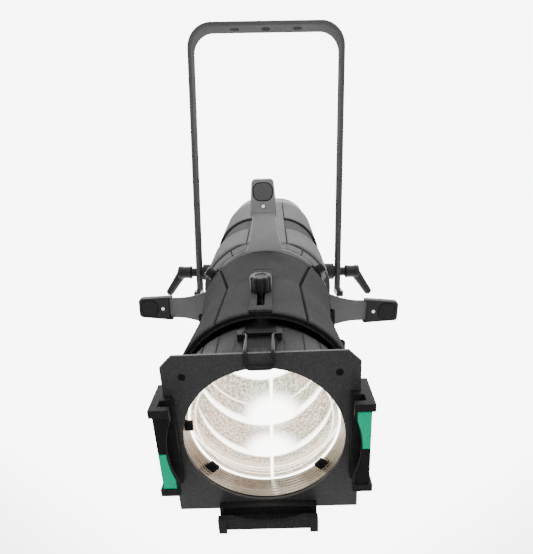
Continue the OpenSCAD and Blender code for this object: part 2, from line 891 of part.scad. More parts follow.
// Square colour frame that holds a filter sheet over the front lens
module gel_frame() {
    color("#2a2b2d") barrel_pose() station(frame_s - frame_t) linear_extrude(frame_t) difference() {
        square(frame_side, center = true);
        translate([0, -frame_hole_drop]) circle(frame_hole_r, $fn = 128);
        both_sides() {
            translate([frame_side / 2, frame_side / 2]) rotate(45) square(14, center = true);
            translate([62.5, 60]) circle(2.2);
        }
    }
}

module retaining_bail() {
    color("#19191a") barrel_pose() translate([0, -bail_pivot_s, bail_pivot_z]) {
        for (x = [-bail_half, bail_half]) translate([x, 0, 0]) {
            rotate([90, 0, 0]) cylinder(h = bail_reach, r = bail_wire_r);
            translate([0, -bail_reach, -bail_fall]) cylinder(h = bail_fall, r = bail_wire_r);
            translate([0, -bail_reach, 0]) sphere(bail_wire_r);
            translate([0, -bail_reach, -bail_fall]) sphere(bail_wire_r);
        }
        translate([0, -bail_reach, -bail_fall]) x_rod(bail_wire_r, -bail_half, bail_half);
        for (x = [-bail_half, bail_half]) translate([x, 0, 0]) sphere(bail_wire_r);
        both_sides() x_rod(bail_wire_r, bail_half, bail_half + 5);
    }
}

module focus_stud() {
    color("#b9bcc0") barrel_pose() translate([0, -knob_s, tube_r - 2.5]) cylinder(h = 24, r = stud_r);
}

module focus_knob() {
    color("#242426") barrel_pose() translate([0, -knob_s, ridge_top + 0.4]) difference() {
        cylinder(h = knob_h, r = knob_r);
        for (a = [0:30:330]) rotate(a) translate([knob_r + 0.8, 0, -1])
            cylinder(h = knob_h - 1, r = 1.8);
        translate([0, 0, -1]) cylinder(h = 7, r = stud_r + running_gap);
    }
}

yoke();
yoke_end_caps();
tilt_brackets();
pivot_bolts();
left_tilt_lever();
right_tilt_lever();
left_lever_screw();
right_lever_screw();
housing_upper();
housing_lower();
housing_screws();
vent_screens();
front_ring();
gate_plate();
condenser_lens();
led_board();
led_array();
heat_sink();
fan_frame();
fan_rotor();
tie_rods();
driver_board();
rear_cover();
rear_grille();
display();
menu_button();
up_button();
down_button();
enter_button();
power_inlet();
power_outlet();
data_inlet();
data_outlet();
safety_loop();
barrel_upper();
barrel_lower();
barrel_screws();
shutter_rear_plate();
shutter_front_plate();
shutter_posts();
left_turn_knob();
right_turn_knob();
top_blade();
top_handle();
bottom_blade();
bottom_handle();
left_blade();
left_handle();
right_blade();
right_handle();
lens_tube_left();
lens_tube_right();
rear_lens();
front_lens();
lens_ring();
angle_labels();
gel_frame();
retaining_bail();
focus_stud();
focus_knob();
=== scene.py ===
"""Looks for the ellipsoidal spotlight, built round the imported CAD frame, in metres."""

import json
from math import cos, pi, radians, sin, sqrt

import bmesh
import bpy
from mathutils import Matrix, Vector


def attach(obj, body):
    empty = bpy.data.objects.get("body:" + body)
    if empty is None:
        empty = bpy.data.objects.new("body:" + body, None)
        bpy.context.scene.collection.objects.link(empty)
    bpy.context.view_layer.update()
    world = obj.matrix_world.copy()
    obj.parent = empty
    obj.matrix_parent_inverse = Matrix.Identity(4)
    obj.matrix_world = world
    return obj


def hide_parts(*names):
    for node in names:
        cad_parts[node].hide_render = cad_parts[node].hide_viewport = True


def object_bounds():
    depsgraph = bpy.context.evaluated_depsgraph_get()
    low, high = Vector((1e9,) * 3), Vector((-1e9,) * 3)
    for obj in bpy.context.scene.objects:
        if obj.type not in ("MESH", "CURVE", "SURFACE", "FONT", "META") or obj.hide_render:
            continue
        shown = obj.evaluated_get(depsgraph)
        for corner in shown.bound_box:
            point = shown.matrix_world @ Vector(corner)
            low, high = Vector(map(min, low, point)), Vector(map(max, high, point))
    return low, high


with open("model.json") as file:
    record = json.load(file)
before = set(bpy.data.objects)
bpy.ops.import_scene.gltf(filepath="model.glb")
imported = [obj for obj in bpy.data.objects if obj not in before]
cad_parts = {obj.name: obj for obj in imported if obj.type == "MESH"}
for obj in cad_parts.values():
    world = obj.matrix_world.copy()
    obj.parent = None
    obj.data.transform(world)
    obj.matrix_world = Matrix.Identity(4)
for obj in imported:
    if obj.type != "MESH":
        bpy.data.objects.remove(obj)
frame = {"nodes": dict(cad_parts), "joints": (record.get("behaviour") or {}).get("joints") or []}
cad_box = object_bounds()
JOINTS = {joint["name"]: joint for joint in frame["joints"]}


# ---- Places -------------------------------------------------------------------------------------


def axes_frame(forward, up, origin):
    """Matrix of a local frame: +X to the right, -Y along forward, +Z along up."""
    back = -Vector(forward).normalized()
    up = Vector(up).normalized()
    right = back.cross(up)
    columns = (right, back, up)
    rotation = Matrix([[column[row] for column in columns] for row in range(3)])
    return Matrix.Translation(Vector(origin)) @ rotation.to_4x4()


FORWARD = Vector(JOINTS["barrel_turn"]["axis"])
PIVOT = Vector(JOINTS["barrel_turn"]["pos_m"])
HEAD = axes_frame(FORWARD, Vector((0, FORWARD.z, -FORWARD.y)), PIVOT)
BARREL = axes_frame(FORWARD, JOINTS["focus_knob_turn"]["axis"], PIVOT)
SQUARE_ON = Matrix.Rotation(pi / 2, 4, "X")


def station(matrix, s):
    """Frame whose XY plane is square to the optical axis, s in front of the pivot, +Z forward."""
    return matrix @ Matrix.Translation((0, -s, 0)) @ SQUARE_ON


# ---- Mesh code ----------------------------------------------------------------------------------


def finish_mesh(name, bm, matrix, material, sharp=35, bevel=0.0, segments=2):
    """Turns a bmesh, drawn in matrix's frame, into a shaded object."""
    bmesh.ops.recalc_face_normals(bm, faces=bm.faces)
    for face in bm.faces:
        face.smooth = True
    for edge in bm.edges:
        if len(edge.link_faces) == 2 and edge.calc_face_angle(0) > radians(sharp):
            edge.smooth = False
    mesh = bpy.data.meshes.new(name)
    bm.to_mesh(mesh)
    bm.free()
    piece = bpy.data.objects.new(name, mesh)
    piece.matrix_world = matrix
    bpy.context.scene.collection.objects.link(piece)
    if bevel:
        rounding = piece.modifiers.new("edges", "BEVEL")
        rounding.width = bevel
        rounding.segments = segments
        rounding.limit_method = "ANGLE"
        rounding.angle_limit = radians(sharp)
        rounding.harden_normals = True
    mesh.materials.append(material)
    return piece


def bridge(bm, loops, closed=True):
    """Joins a list of vertex loops, each to the next, with quads."""
    for first, second in zip(loops, loops[1:]):
        count = len(first)
        for i in range(count if closed else count - 1):
            j = (i + 1) % count
            bm.faces.new((first[i], first[j], second[j], second[i]))


def lathe(name, profile, matrix, material, segments=128, ring=True, **finish):
    """Turns a profile of (radius, height) points about local Z. A ring joins its last point to its first."""
    bm = bmesh.new()
    angles = [2 * pi * i / segments for i in range(segments)]
    loops = []
    for radius, height in profile:
        loops.append([bm.verts.new((radius * cos(a), radius * sin(a), height)) for a in angles])
    if ring:
        loops.append(loops[0])
    bridge(bm, loops)
    if not ring:
        for loop in (loops[0], loops[-1]):
            if loop[0].co.xy.length > 1e-6:
                bm.faces.new(loop)
    bmesh.ops.remove_doubles(bm, verts=bm.verts, dist=1e-7)
    return finish_mesh(name, bm, matrix, material, **finish)


def loft(name, loops, matrix, material, **finish):
    """Skins a list of point loops, capped at both ends."""
    bm = bmesh.new()
    rings = [[bm.verts.new(point) for point in loop] for loop in loops]
    bridge(bm, rings)
    bm.faces.new(rings[0])
    bm.faces.new(rings[-1])
    return finish_mesh(name, bm, matrix, material, **finish)


def slab(name, outline, low, high, matrix, material, **finish):
    """Plate of the given outline between two heights."""
    loops = [[(x, y, z) for x, y in outline] for z in (low, high)]
    return loft(name, loops, matrix, material, **finish)


def sweep_tube(name, path, radius, matrix, material, sides=16, **finish):
    """Round wire along a path of points."""
    points = [Vector(point) for point in path]
    loops = []
    side = None
    for i, point in enumerate(points):
        ahead = points[min(i + 1, len(points) - 1)] - points[max(i - 1, 0)]
        ahead.normalize()
        if side is None:
            side = ahead.orthogonal().normalized()
        side = (side - ahead * side.dot(ahead)).normalized()
        other = ahead.cross(side)
        angles = [2 * pi * k / sides for k in range(sides)]
        loops.append([point + radius * (cos(a) * side + sin(a) * other) for a in angles])
    return loft(name, loops, matrix, material, **finish)


def rounded_outline(width, height, corner, steps=6, centre=(0, 0), narrow=0.0):
    """Outline of a rectangle with round corners, its far side narrower by narrow at each end."""
    points = []
    for quarter, (sx, sy) in enumerate(((1, 1), (-1, 1), (-1, -1), (1, -1))):
        for k in range(steps + 1):
            angle = pi / 2 * (quarter + k / steps)
            x = sx * (width / 2 - corner) + corner * cos(angle)
            y = sy * (height / 2 - corner) + corner * sin(angle)
            taper = 1 - 2 * narrow / width * (y / height + 0.5)
            points.append((centre[0] + x * taper, centre[1] + y))
    return points


def scaled(outline, factor, about=(0, 0)):
    """Outline grown or shrunk about a point."""
    about_x, about_y = about
    return [(about_x + (x - about_x) * factor, about_y + (y - about_y) * factor) for x, y in outline]


# ---- Materials ----------------------------------------------------------------------------------


def add(tree, kind, **settings):
    """Adds a shader node and sets its properties and inputs by name."""
    node = tree.nodes.new("ShaderNode" + kind)
    for name, value in settings.items():
        if hasattr(node, name):
            setattr(node, name, value)
        else:
            node.inputs[name.replace("_", " ")].default_value = value
    return node


def ramp(tree, source, stops):
    """Colour ramp through (position, value) stops of grey."""
    node = tree.nodes.new("ShaderNodeValToRGB")
    elements = node.color_ramp.elements
    for _ in stops[2:]:
        elements.new(0.5)
    for element, (position, value) in zip(elements, stops):
        element.position = position
        element.color = (value, value, value, 1)
    tree.links.new(source, node.inputs["Fac"])
    return node.outputs["Color"]


def mix_colour(tree, factor, first, second):
    """Blend of two colours, each a socket or a plain (r, g, b)."""
    node = tree.nodes.new("ShaderNodeMix")
    node.data_type = "RGBA"
    for socket, value in ((node.inputs[0], factor), (node.inputs[6], first), (node.inputs[7], second)):
        if isinstance(value, bpy.types.NodeSocket):
            tree.links.new(value, socket)
        elif isinstance(value, tuple):
            socket.default_value = (*value, 1)
        else:
            socket.default_value = value
    return node.outputs[2]


def grey(value):
    """Neutral colour with a trace of blue."""
    return (value, value, value * 1.015)


def surface(
    name, colour, rough=0.5, metal=0.0, grain=0.0008, grain_depth=0.00006, mottle=0.12, wear=0.35,
    edge=0.0006, brushed=None, coat=0.0, speckle=0.0, specular=0.25,
):
    """Procedural finish: mottled colour, fine grain, worn lighter edges, and brush marks where wanted."""
    material = bpy.data.materials.new(name)
    material.use_nodes = True
    tree = material.node_tree
    link = tree.links.new
    shader = tree.nodes["Principled BSDF"]
    coords = add(tree, "TexCoord").outputs["Object"]
    cloud = add(tree, "TexNoise", Scale=22.0, Detail=5.0, Roughness=0.6)
    link(coords, cloud.inputs["Vector"])
    grit = add(tree, "TexNoise", Scale=1 / grain, Detail=3.0, Roughness=0.65)
    link(coords, grit.inputs["Vector"])
    if brushed:
        stretch = add(tree, "Mapping", Scale=brushed)
        link(coords, stretch.inputs["Vector"])
        link(stretch.outputs["Vector"], grit.inputs["Vector"])
    dark = tuple(c * (1 - mottle) for c in colour)
    light = tuple(min(1.0, c * (1 + mottle)) for c in colour)
    tone = mix_colour(tree, ramp(tree, cloud.outputs["Fac"], ((0.3, 0), (0.7, 1))), dark, light)
    if speckle:
        flecks = ramp(tree, grit.outputs["Fac"], ((0.42, 0), (0.68, speckle)))
        tone = mix_colour(tree, flecks, tone, tuple(min(1.0, c * 1.9 + 0.03) for c in colour))
    rounded = add(tree, "Bevel", samples=4, Radius=edge)
    geometry = add(tree, "NewGeometry")
    facing = add(tree, "VectorMath", operation="DOT_PRODUCT")
    link(rounded.outputs["Normal"], facing.inputs[0])
    link(geometry.outputs["Normal"], facing.inputs[1])
    edges = ramp(tree, facing.outputs["Value"], ((0.75, wear), (0.985, 0.0)))
    scuff = add(tree, "Math", operation="MULTIPLY")
    link(edges, scuff.inputs[0])
    link(ramp(tree, cloud.outputs["Fac"], ((0.4, 0.35), (0.62, 1))), scuff.inputs[1])
    worn = tuple(min(1.0, c * 1.7 + 0.035) for c in colour)
    link(mix_colour(tree, scuff.outputs["Value"], tone, worn), shader.inputs["Base Color"])
    gloss = add(tree, "MapRange", To_Min=max(0.05, rough - 0.08), To_Max=min(1.0, rough + 0.1))
    link(cloud.outputs["Fac"], gloss.inputs["Value"])
    link(gloss.outputs["Result"], shader.inputs["Roughness"])
    bump = add(tree, "Bump", Distance=grain_depth, Strength=1.0)
    link(grit.outputs["Fac"], bump.inputs["Height"])
    link(rounded.outputs["Normal"], bump.inputs["Normal"])
    link(bump.outputs["Normal"], shader.inputs["Normal"])
    shader.inputs["Metallic"].default_value = metal
    shader.inputs["Coat Weight"].default_value = coat
    shader.inputs["Coat Roughness"].default_value = 0.15
    shader.inputs["Specular IOR Level"].default_value = specular
    return material


YOKE = surface("yoke_paint", grey(0.047), rough=0.5, grain=0.0012, wear=0.5, speckle=0.1, specular=0.0)
BLACK = surface(
    "black_moulding", grey(0.012), rough=0.45, grain=0.0009,
    grain_depth=0.0001, wear=0.4, speckle=0.2, specular=0.08,
)
DARK_CAST = surface(
    "dark_casting", grey(0.014), rough=0.5, grain=0.001, grain_depth=0.0001, specular=0.1
)
HOUSING = surface(
    "grey_casting", grey(0.078), rough=0.6, grain=0.0013, grain_depth=0.00025,
    speckle=0.6, wear=0.5, specular=0.0,
)
BARREL_CAST = surface(
    "barrel_casting", grey(0.026), rough=0.55, grain=0.0012,
    grain_depth=0.0002, speckle=0.25, specular=0.0,
)
# Near-black casting under the barrel's panels, seen in the creases and inside the mouth: painted shade for
# those valleys.
SHADED_GROOVE = surface(
    "barrel_groove_painted_shade", grey(0.008), rough=0.6, grain=0.0012, grain_depth=0.0002, speckle=0.1, specular=0.0
)
# Dark casting under the housing's panels, coloured darker than the panels as painted shade in the creases
# between them; it also shows round the vents.
SHADED_CREASE = surface(
    "housing_crease_painted_shade", grey(0.022), rough=0.6, grain=0.0012, grain_depth=0.0002,
    speckle=0.2, specular=0.0,
)
STEEL = surface(
    "bright_steel", grey(0.62), rough=0.28, metal=1.0, grain=0.0007, grain_depth=0.00002, mottle=0.06
)
DARK_SCREW = surface("dark_screw", grey(0.03), rough=0.35, metal=0.8, grain_depth=0.00003)
SCREEN = surface(
    "vent_screen", grey(0.045), rough=0.6, grain=0.0016, grain_depth=0.0003, speckle=0.3, specular=0.0
)
# Sheet steel in a lighter and a darker copy: the top blade's lighter sheet is painted light from above, and
# the other blades' darker copy is painted shade.
SHEET = surface(
    "sheet_steel", grey(0.27), rough=0.34, metal=0.3, grain=0.001,
    grain_depth=0.00002, brushed=(1, 1, 0.06),
)
SHADED_SHEET = surface(
    "shutter_blade_painted_shade", grey(0.085), rough=0.42, metal=0.5, grain=0.001,
    grain_depth=0.00002, brushed=(0.06, 1, 1),
)
HOOD = surface("hood_black", grey(0.012), rough=0.6)
BOARD = surface("board_green", (0.015, 0.10, 0.045), rough=0.3, coat=0.4)
EMITTER = surface("emitter_yellow", (0.80, 0.72, 0.30), rough=0.25, coat=0.6)
SINK = surface("sink_metal", grey(0.45), rough=0.35, metal=1.0, brushed=(1, 0.05, 1))
DISPLAY = surface("display_dark", (0.006, 0.014, 0.025), rough=0.12, coat=0.8, grain_depth=0.00001)
KEY = surface("button_grey", grey(0.55), rough=0.4)
INLET = surface("inlet_blue", (0.02, 0.09, 0.38), rough=0.3, coat=0.3)
OUTLET = surface("outlet_grey", grey(0.42), rough=0.3, coat=0.3)
DATA = surface("data_metal", grey(0.35), rough=0.3, metal=1.0, grain_depth=0.00002)
# Grip and pad mouldings in lighter and darker copies: the top shutter's lighter ones are painted light from
# above, and the other three's darker ones are painted shade.
GRIP = surface(
    "grip_moulding_painted_light", grey(0.13), rough=0.5, grain=0.0009, grain_depth=0.00012, speckle=0.3, specular=0.1
)
SHADED_GRIP = surface(
    "grip_painted_shade", grey(0.016), rough=0.5, grain=0.0009, grain_depth=0.0001, speckle=0.25, specular=0.06
)
PAD = surface(
    "grip_pad", grey(0.06), rough=0.7, grain=0.0009, grain_depth=0.00014, speckle=0.3, specular=0.05
)
SHADED_PAD = surface(
    "grip_pad_dark", grey(0.012), rough=0.7, grain=0.0009, grain_depth=0.00014,
    speckle=0.3, specular=0.05,
)
TUBE = surface(
    "tube_moulding", grey(0.006), rough=0.48, grain=0.0011,
    grain_depth=0.00016, speckle=0.2, specular=0.04,
)
RING_METAL = surface("ring_metal", grey(0.30), rough=0.3, metal=0.6, grain_depth=0.00003)
PLATE_BLACK = surface(
    "frame_black", grey(0.019), rough=0.4, grain=0.0013, grain_depth=0.0001,
    wear=0.5, speckle=0.3, specular=0.12,
)
WIRE = surface("wire_black", grey(0.008), rough=0.3, wear=0.1, specular=0.1)
GREEN = surface(
    "label_green", (0.0, 0.29, 0.155), rough=0.5, grain_depth=0.00002, mottle=0.05, wear=0.0, specular=0.0
)
LABEL_BLACK = surface(
    "label_black", grey(0.006), rough=0.5, grain_depth=0.00002, wear=0.0, specular=0.03
)
WHITE_DOT = surface("rivet_white", grey(0.85), rough=0.3, mottle=0.03, grain_depth=0.00001)

NODE_MATERIALS = {
    "yoke": YOKE,
    "yoke_end_caps": BLACK,
    "tilt_brackets": DARK_CAST,
    "pivot_bolts": STEEL,
    "left_tilt_lever": BLACK,
    "right_tilt_lever": BLACK,
    "left_lever_screw": STEEL,
    "right_lever_screw": STEEL,
    # The housing casting under the panels is coloured dark as painted shade in its creases.
    "housing_upper": SHADED_CREASE,
    "housing_lower": SHADED_CREASE,
    "housing_screws": DARK_SCREW,
    "vent_screens": SCREEN,
    "front_ring": RING_METAL,
    "gate_plate": HOOD,
    "condenser_lens": OUTLET,
    "led_board": BOARD,
    "led_array": EMITTER,
    "heat_sink": SINK,
    "fan_frame": BLACK,
    "fan_rotor": BLACK,
    "tie_rods": STEEL,
    "driver_board": BOARD,
    "rear_cover": DARK_CAST,
    "rear_grille": SCREEN,
    "display": DISPLAY,
    "menu_button": KEY,
    "up_button": KEY,
    "down_button": KEY,
    "enter_button": KEY,
    "power_inlet": INLET,
    "power_outlet": OUTLET,
    "data_inlet": DATA,
    "data_outlet": DATA,
    "safety_loop": STEEL,
    # The barrel casting under the panels is coloured near-black as painted shade in the creases and mouth.
    "barrel_upper": SHADED_GROOVE,
    "barrel_lower": SHADED_GROOVE,
    "barrel_screws": DARK_SCREW,
    "shutter_rear_plate": SHEET,
    "shutter_front_plate": SHEET,
    "shutter_posts": STEEL,
    "left_turn_knob": BLACK,
    "right_turn_knob": BLACK,
    # The top blade and top handle take the lighter copies as painted light, and the others take the darker
    # copies as painted shade.
    "top_blade": SHEET,
    "bottom_blade": SHADED_SHEET,
    "left_blade": SHADED_SHEET,
    "right_blade": SHADED_SHEET,
    "top_handle": GRIP,
    "bottom_handle": SHADED_GRIP,
    "left_handle": SHADED_GRIP,
    "right_handle": SHADED_GRIP,
    "lens_tube_left": TUBE,
    "lens_tube_right": TUBE,
    "rear_lens": OUTLET,
    "front_lens": OUTLET,
    "lens_ring": RING_METAL,
    "angle_labels": GREEN,
    "gel_frame": PLATE_BLACK,
    "retaining_bail": WIRE,
    "focus_stud": STEEL,
    "focus_knob": BLACK,
}
for node_name, cad_object in frame["nodes"].items():
    cad_object.data.materials.clear()
    cad_object.data.materials.append(NODE_MATERIALS[node_name])


# ---- Front lens and its ring --------------------------------------------------------------------

LENS_S = 0.383
LENS_R = 0.0705
LENS_EDGE = 0.006
LENS_BALL = 0.150
LIT_R = 0.0670
LENS_GLOW = 9.0
RING_S = 0.3928
RING_R = 0.0705
RING_BORE = 0.0670


def calc(tree, operation, first, second=0.0):
    """Output of a Math node on sockets or numbers."""
    node = tree.nodes.new("ShaderNodeMath")
    node.operation = operation
    for socket, value in zip(node.inputs, (first, second)):
        if isinstance(value, bpy.types.NodeSocket):
            tree.links.new(value, socket)
        else:
            socket.default_value = value
    return node.outputs[0]


def soft_step(tree, value, low, high):
    """0 below low, 1 above high, smooth between them."""
    node = add(tree, "MapRange", interpolation_type="SMOOTHSTEP", From_Min=low, From_Max=high)
    tree.links.new(value, node.inputs["Value"])
    return node.outputs["Result"]


def lens_light(tree, u, v):
    """Smile-shaped bands of light with an upright line and a hot middle, faint waves, and a warm arc."""

    def opposite(value):
        return calc(tree, "SUBTRACT", 1.0, value)

    def distance(centre_u, centre_v):
        across = calc(tree, "SUBTRACT", u, centre_u)
        upward = calc(tree, "SUBTRACT", v, centre_v)
        flat = calc(tree, "MULTIPLY", across, across)
        tall = calc(tree, "MULTIPLY", upward, upward)
        return calc(tree, "SQRT", calc(tree, "ADD", flat, tall))

    def inside(centre_u, centre_v, radius, soft):
        return soft_step(tree, calc(tree, "SUBTRACT", radius, distance(centre_u, centre_v)), -soft, soft)

    def line(centre_u, centre_v, radius, half):
        away = calc(tree, "ABSOLUTE", calc(tree, "SUBTRACT", distance(centre_u, centre_v), radius))
        return opposite(soft_step(tree, away, half * 0.4, half))

    def shade(value, amount):
        return calc(tree, "MULTIPLY", value, amount)

    light = inside(0.0, 1.60, 0.90, 0.02)
    high = shade(inside(0.0, 1.034, 0.934, 0.012), opposite(inside(0.0, 1.19, 0.99, 0.03)))
    low = shade(inside(0.03, 0.45, 0.89, 0.012), opposite(inside(0.03, 0.60, 0.93, 0.03)))
    high_blob = shade(inside(0.02, 1.034, 0.934, 0.02), inside(0.12, 0.16, 0.33, 0.12))
    low_blob = shade(inside(0.03, 0.45, 0.89, 0.02), inside(0.08, -0.36, 0.30, 0.14))
    thin_bands = [
        line(0.0, 1.31, 0.93, 0.016), line(0.0, 0.42, 1.11, 0.018), line(0.0, 0.32, 1.08, 0.012),
        line(0.0, 0.05, 0.90, 0.014),
    ]
    for band in (shade(high, 0.75), shade(low, 0.75), high_blob, low_blob):
        light = calc(tree, "MAXIMUM", light, band)
    for band in thin_bands:
        light = calc(tree, "MAXIMUM", light, shade(band, 0.4))
    slope = calc(tree, "ADD", shade(v, 0.035), 0.095)
    beam = calc(tree, "ABSOLUTE", calc(tree, "SUBTRACT", u, slope))
    light = calc(tree, "MAXIMUM", light, opposite(soft_step(tree, beam, 0.008, 0.030)))
    light = calc(tree, "MAXIMUM", light, shade(inside(0.07, 0.30, 0.10, 0.32), 0.7))
    light = calc(tree, "MAXIMUM", light, soft_step(tree, distance(0, 0), 0.965, 0.99))
    waves = calc(tree, "SINE", shade(distance(0.02, 0.62), 95.0))
    warm_arc = shade(line(0.0, 0.40, 1.06, 0.13), 0.25)
    return light, waves, warm_arc


def lens_speckle(tree, coords):
    """Colour of the glass itself: warm and green patches under fine bright grains."""
    grains = add(tree, "TexVoronoi", Scale=420.0)
    tree.links.new(coords, grains.inputs["Vector"])
    cloud = add(tree, "TexNoise", Scale=26.0, Detail=2.0)
    tree.links.new(coords, cloud.inputs["Vector"])
    dust = add(tree, "TexNoise", Scale=520.0, Detail=4.0, Roughness=0.85)
    tree.links.new(coords, dust.inputs["Vector"])
    patches = ramp(tree, cloud.outputs["Fac"], ((0.42, 0), (0.6, 1)))
    warm = mix_colour(tree, patches, (0.100, 0.066, 0.044), (0.058, 0.074, 0.046))
    glitter = ramp(tree, dust.outputs["Fac"], ((0.47, 0.0), (0.62, 1.0)))
    glass = mix_colour(tree, glitter, warm, (0.30, 0.26, 0.205))
    cells = ramp(tree, grains.outputs["Distance"], ((0.0, 0.9), (0.22, 0.0)))
    glass = mix_colour(tree, cells, glass, (0.85, 0.84, 0.80))
    return glass


def lit_glass():
    """Lit lens: the light's pattern laid over speckled glass."""
    material = bpy.data.materials.new("lit_lens")
    material.use_nodes = True
    tree = material.node_tree
    shader = tree.nodes["Principled BSDF"]
    coords = add(tree, "TexCoord").outputs["Object"]
    parts = add(tree, "SeparateXYZ")
    tree.links.new(coords, parts.inputs[0])
    u = calc(tree, "DIVIDE", parts.outputs["X"], LIT_R)
    v = calc(tree, "DIVIDE", parts.outputs["Y"], LIT_R)
    light, waves, warm_arc = lens_light(tree, u, v)
    glass = lens_speckle(tree, coords)
    glass = mix_colour(tree, ramp(tree, waves, ((0.70, 0.0), (0.98, 0.35))), glass, (0.42, 0.26, 0.19))
    tint = mix_colour(tree, warm_arc, glass, (0.55, 0.42, 0.30))
    shown = mix_colour(tree, light, tint, (1.0, 0.985, 0.94))
    tree.links.new(shown, shader.inputs["Emission Color"])
    shader.inputs["Emission Strength"].default_value = LENS_GLOW
    tree.links.new(mix_colour(tree, 0.5, glass, (0.1, 0.1, 0.1)), shader.inputs["Base Color"])
    shader.inputs["Roughness"].default_value = 0.08
    shader.inputs["Coat Weight"].default_value = 0.5
    return material


def front_lens():
    """Domed lens with the lit look on it."""
    rise = sqrt(LENS_BALL**2 - LENS_R**2)
    profile = [(0.0, 0.0), (LENS_R - 0.0008, 0.0), (LENS_R, 0.0008)]
    for k in range(25):
        radius = LENS_R * (1 - k / 24)
        profile.append((radius, LENS_EDGE + sqrt(LENS_BALL**2 - radius**2) - rise))
    lens = lathe("front_lens_glass", profile, station(BARREL, LENS_S), lit_glass(), ring=False)
    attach(lens, "lens_tube")
    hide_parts("front_lens")


def stepped_ring():
    """Spun ring round the lens, with steps that catch the light."""
    bright = surface(
        "ring_bright", (0.22, 0.195, 0.165), rough=0.2, metal=1.0, grain_depth=0.00001, wear=0.0, mottle=0.06
    )
    steps, tread, rise = 6, 0.00056, 0.0024
    profile = [(RING_R, 0.0), (RING_R, steps * rise + 0.0006), (RING_R - 0.0002, steps * rise + 0.0008)]
    for k in reversed(range(steps)):
        radius = RING_BORE + k * tread
        profile += [(radius + tread * 0.9, (k + 1) * rise), (radius + tread * 0.1, k * rise + 0.0016)]
    profile.append((RING_BORE, 0.0))
    ring = lathe("lens_step_ring", profile, station(BARREL, RING_S), bright, segments=160, sharp=25)
    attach(ring, "lens_tube")
    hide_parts("lens_ring")


# ---- Labels -------------------------------------------------------------------------------------


LABEL_S = 0.430


def side_labels():
    """Two plain blocks of colour in each side rail's front recess."""
    edge_x, inner_r, half = 0.0849, 0.0786, 0.0357
    pieces = []
    for side, upper, lower in ((-1, LABEL_BLACK, GREEN), (1, GREEN, LABEL_BLACK)):
        for low, high, material, place in ((0.0002, half, upper, "upper"), (-half, -0.0002, lower, "lower")):
            heights = [low + (high - low) * k / 12 for k in range(13)]
            inner = [(side * max(0.0738, sqrt(inner_r**2 - z * z)), z) for z in heights]
            outline = inner + [(side * edge_x, high), (side * edge_x, low)]
            name = "label_%s_%s" % ("left" if side < 0 else "right", place)
            label = slab(name, outline, -0.0006, 0.00002, station(BARREL, LABEL_S), material, bevel=0.0001)
            pieces.append(label)
            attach(label, "lens_tube")
    for label in pieces:
        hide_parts("angle_labels")


# ---- Shutters -----------------------------------------------------------------------------------

FIRST_BLADE_S = 0.1552
BLADE_PITCH = 0.0023
BLADE_T = 0.0012
GRIP_ROOT = 0.137
GRIP_TIP = 0.180
GRIP_HALF = 0.0045
PAD_SEAT = 0.0044
PAD_MIDDLE = (0, 0.1645)
RIVET_Y = 0.1462
# The top shutter gets the lighter blade, grip and pad as painted light; the left, bottom and right shutters
# get the darker copies as painted shade.
SHUTTERS = {
    "left": (0, SHADED_SHEET, SHADED_GRIP, SHADED_PAD), "top": (1, SHEET, GRIP, PAD),
    "bottom": (2, SHADED_SHEET, SHADED_GRIP, SHADED_PAD), "right": (3, SHADED_SHEET, SHADED_GRIP, SHADED_PAD),
}


def blade_outline():
    """Wide mask at the gate and a tail that narrows in a smooth curve toward the grip."""
    side = [(0.042, 0.039), (0.042, 0.063), (0.0265, 0.078)]
    for k in range(15):
        y = 0.084 + (0.128 - 0.084) * k / 14
        side.append((0.0152 + 0.0108 * (1 - k / 14) ** 1.9, y))
    side.append((0.0150, GRIP_ROOT + 0.014))
    return side + [(-x, y) for x, y in reversed(side)]


def grip_outline():
    """Grip that narrows toward its tip, with two ears that lap the blade's edges."""
    near, far, corner = 0.0172, 0.0142, 0.005
    ear = GRIP_ROOT - 0.0042
    right = [(0.0153, GRIP_ROOT + 0.0005), (0.0153, ear), (near - 0.0004, ear), (near, GRIP_ROOT)]
    for k in range(7):
        angle = pi / 2 * k / 6
        right.append((far - corner + corner * cos(angle), GRIP_TIP - corner + corner * sin(angle)))
    return right + [(-x, y) for x, y in reversed(right)]


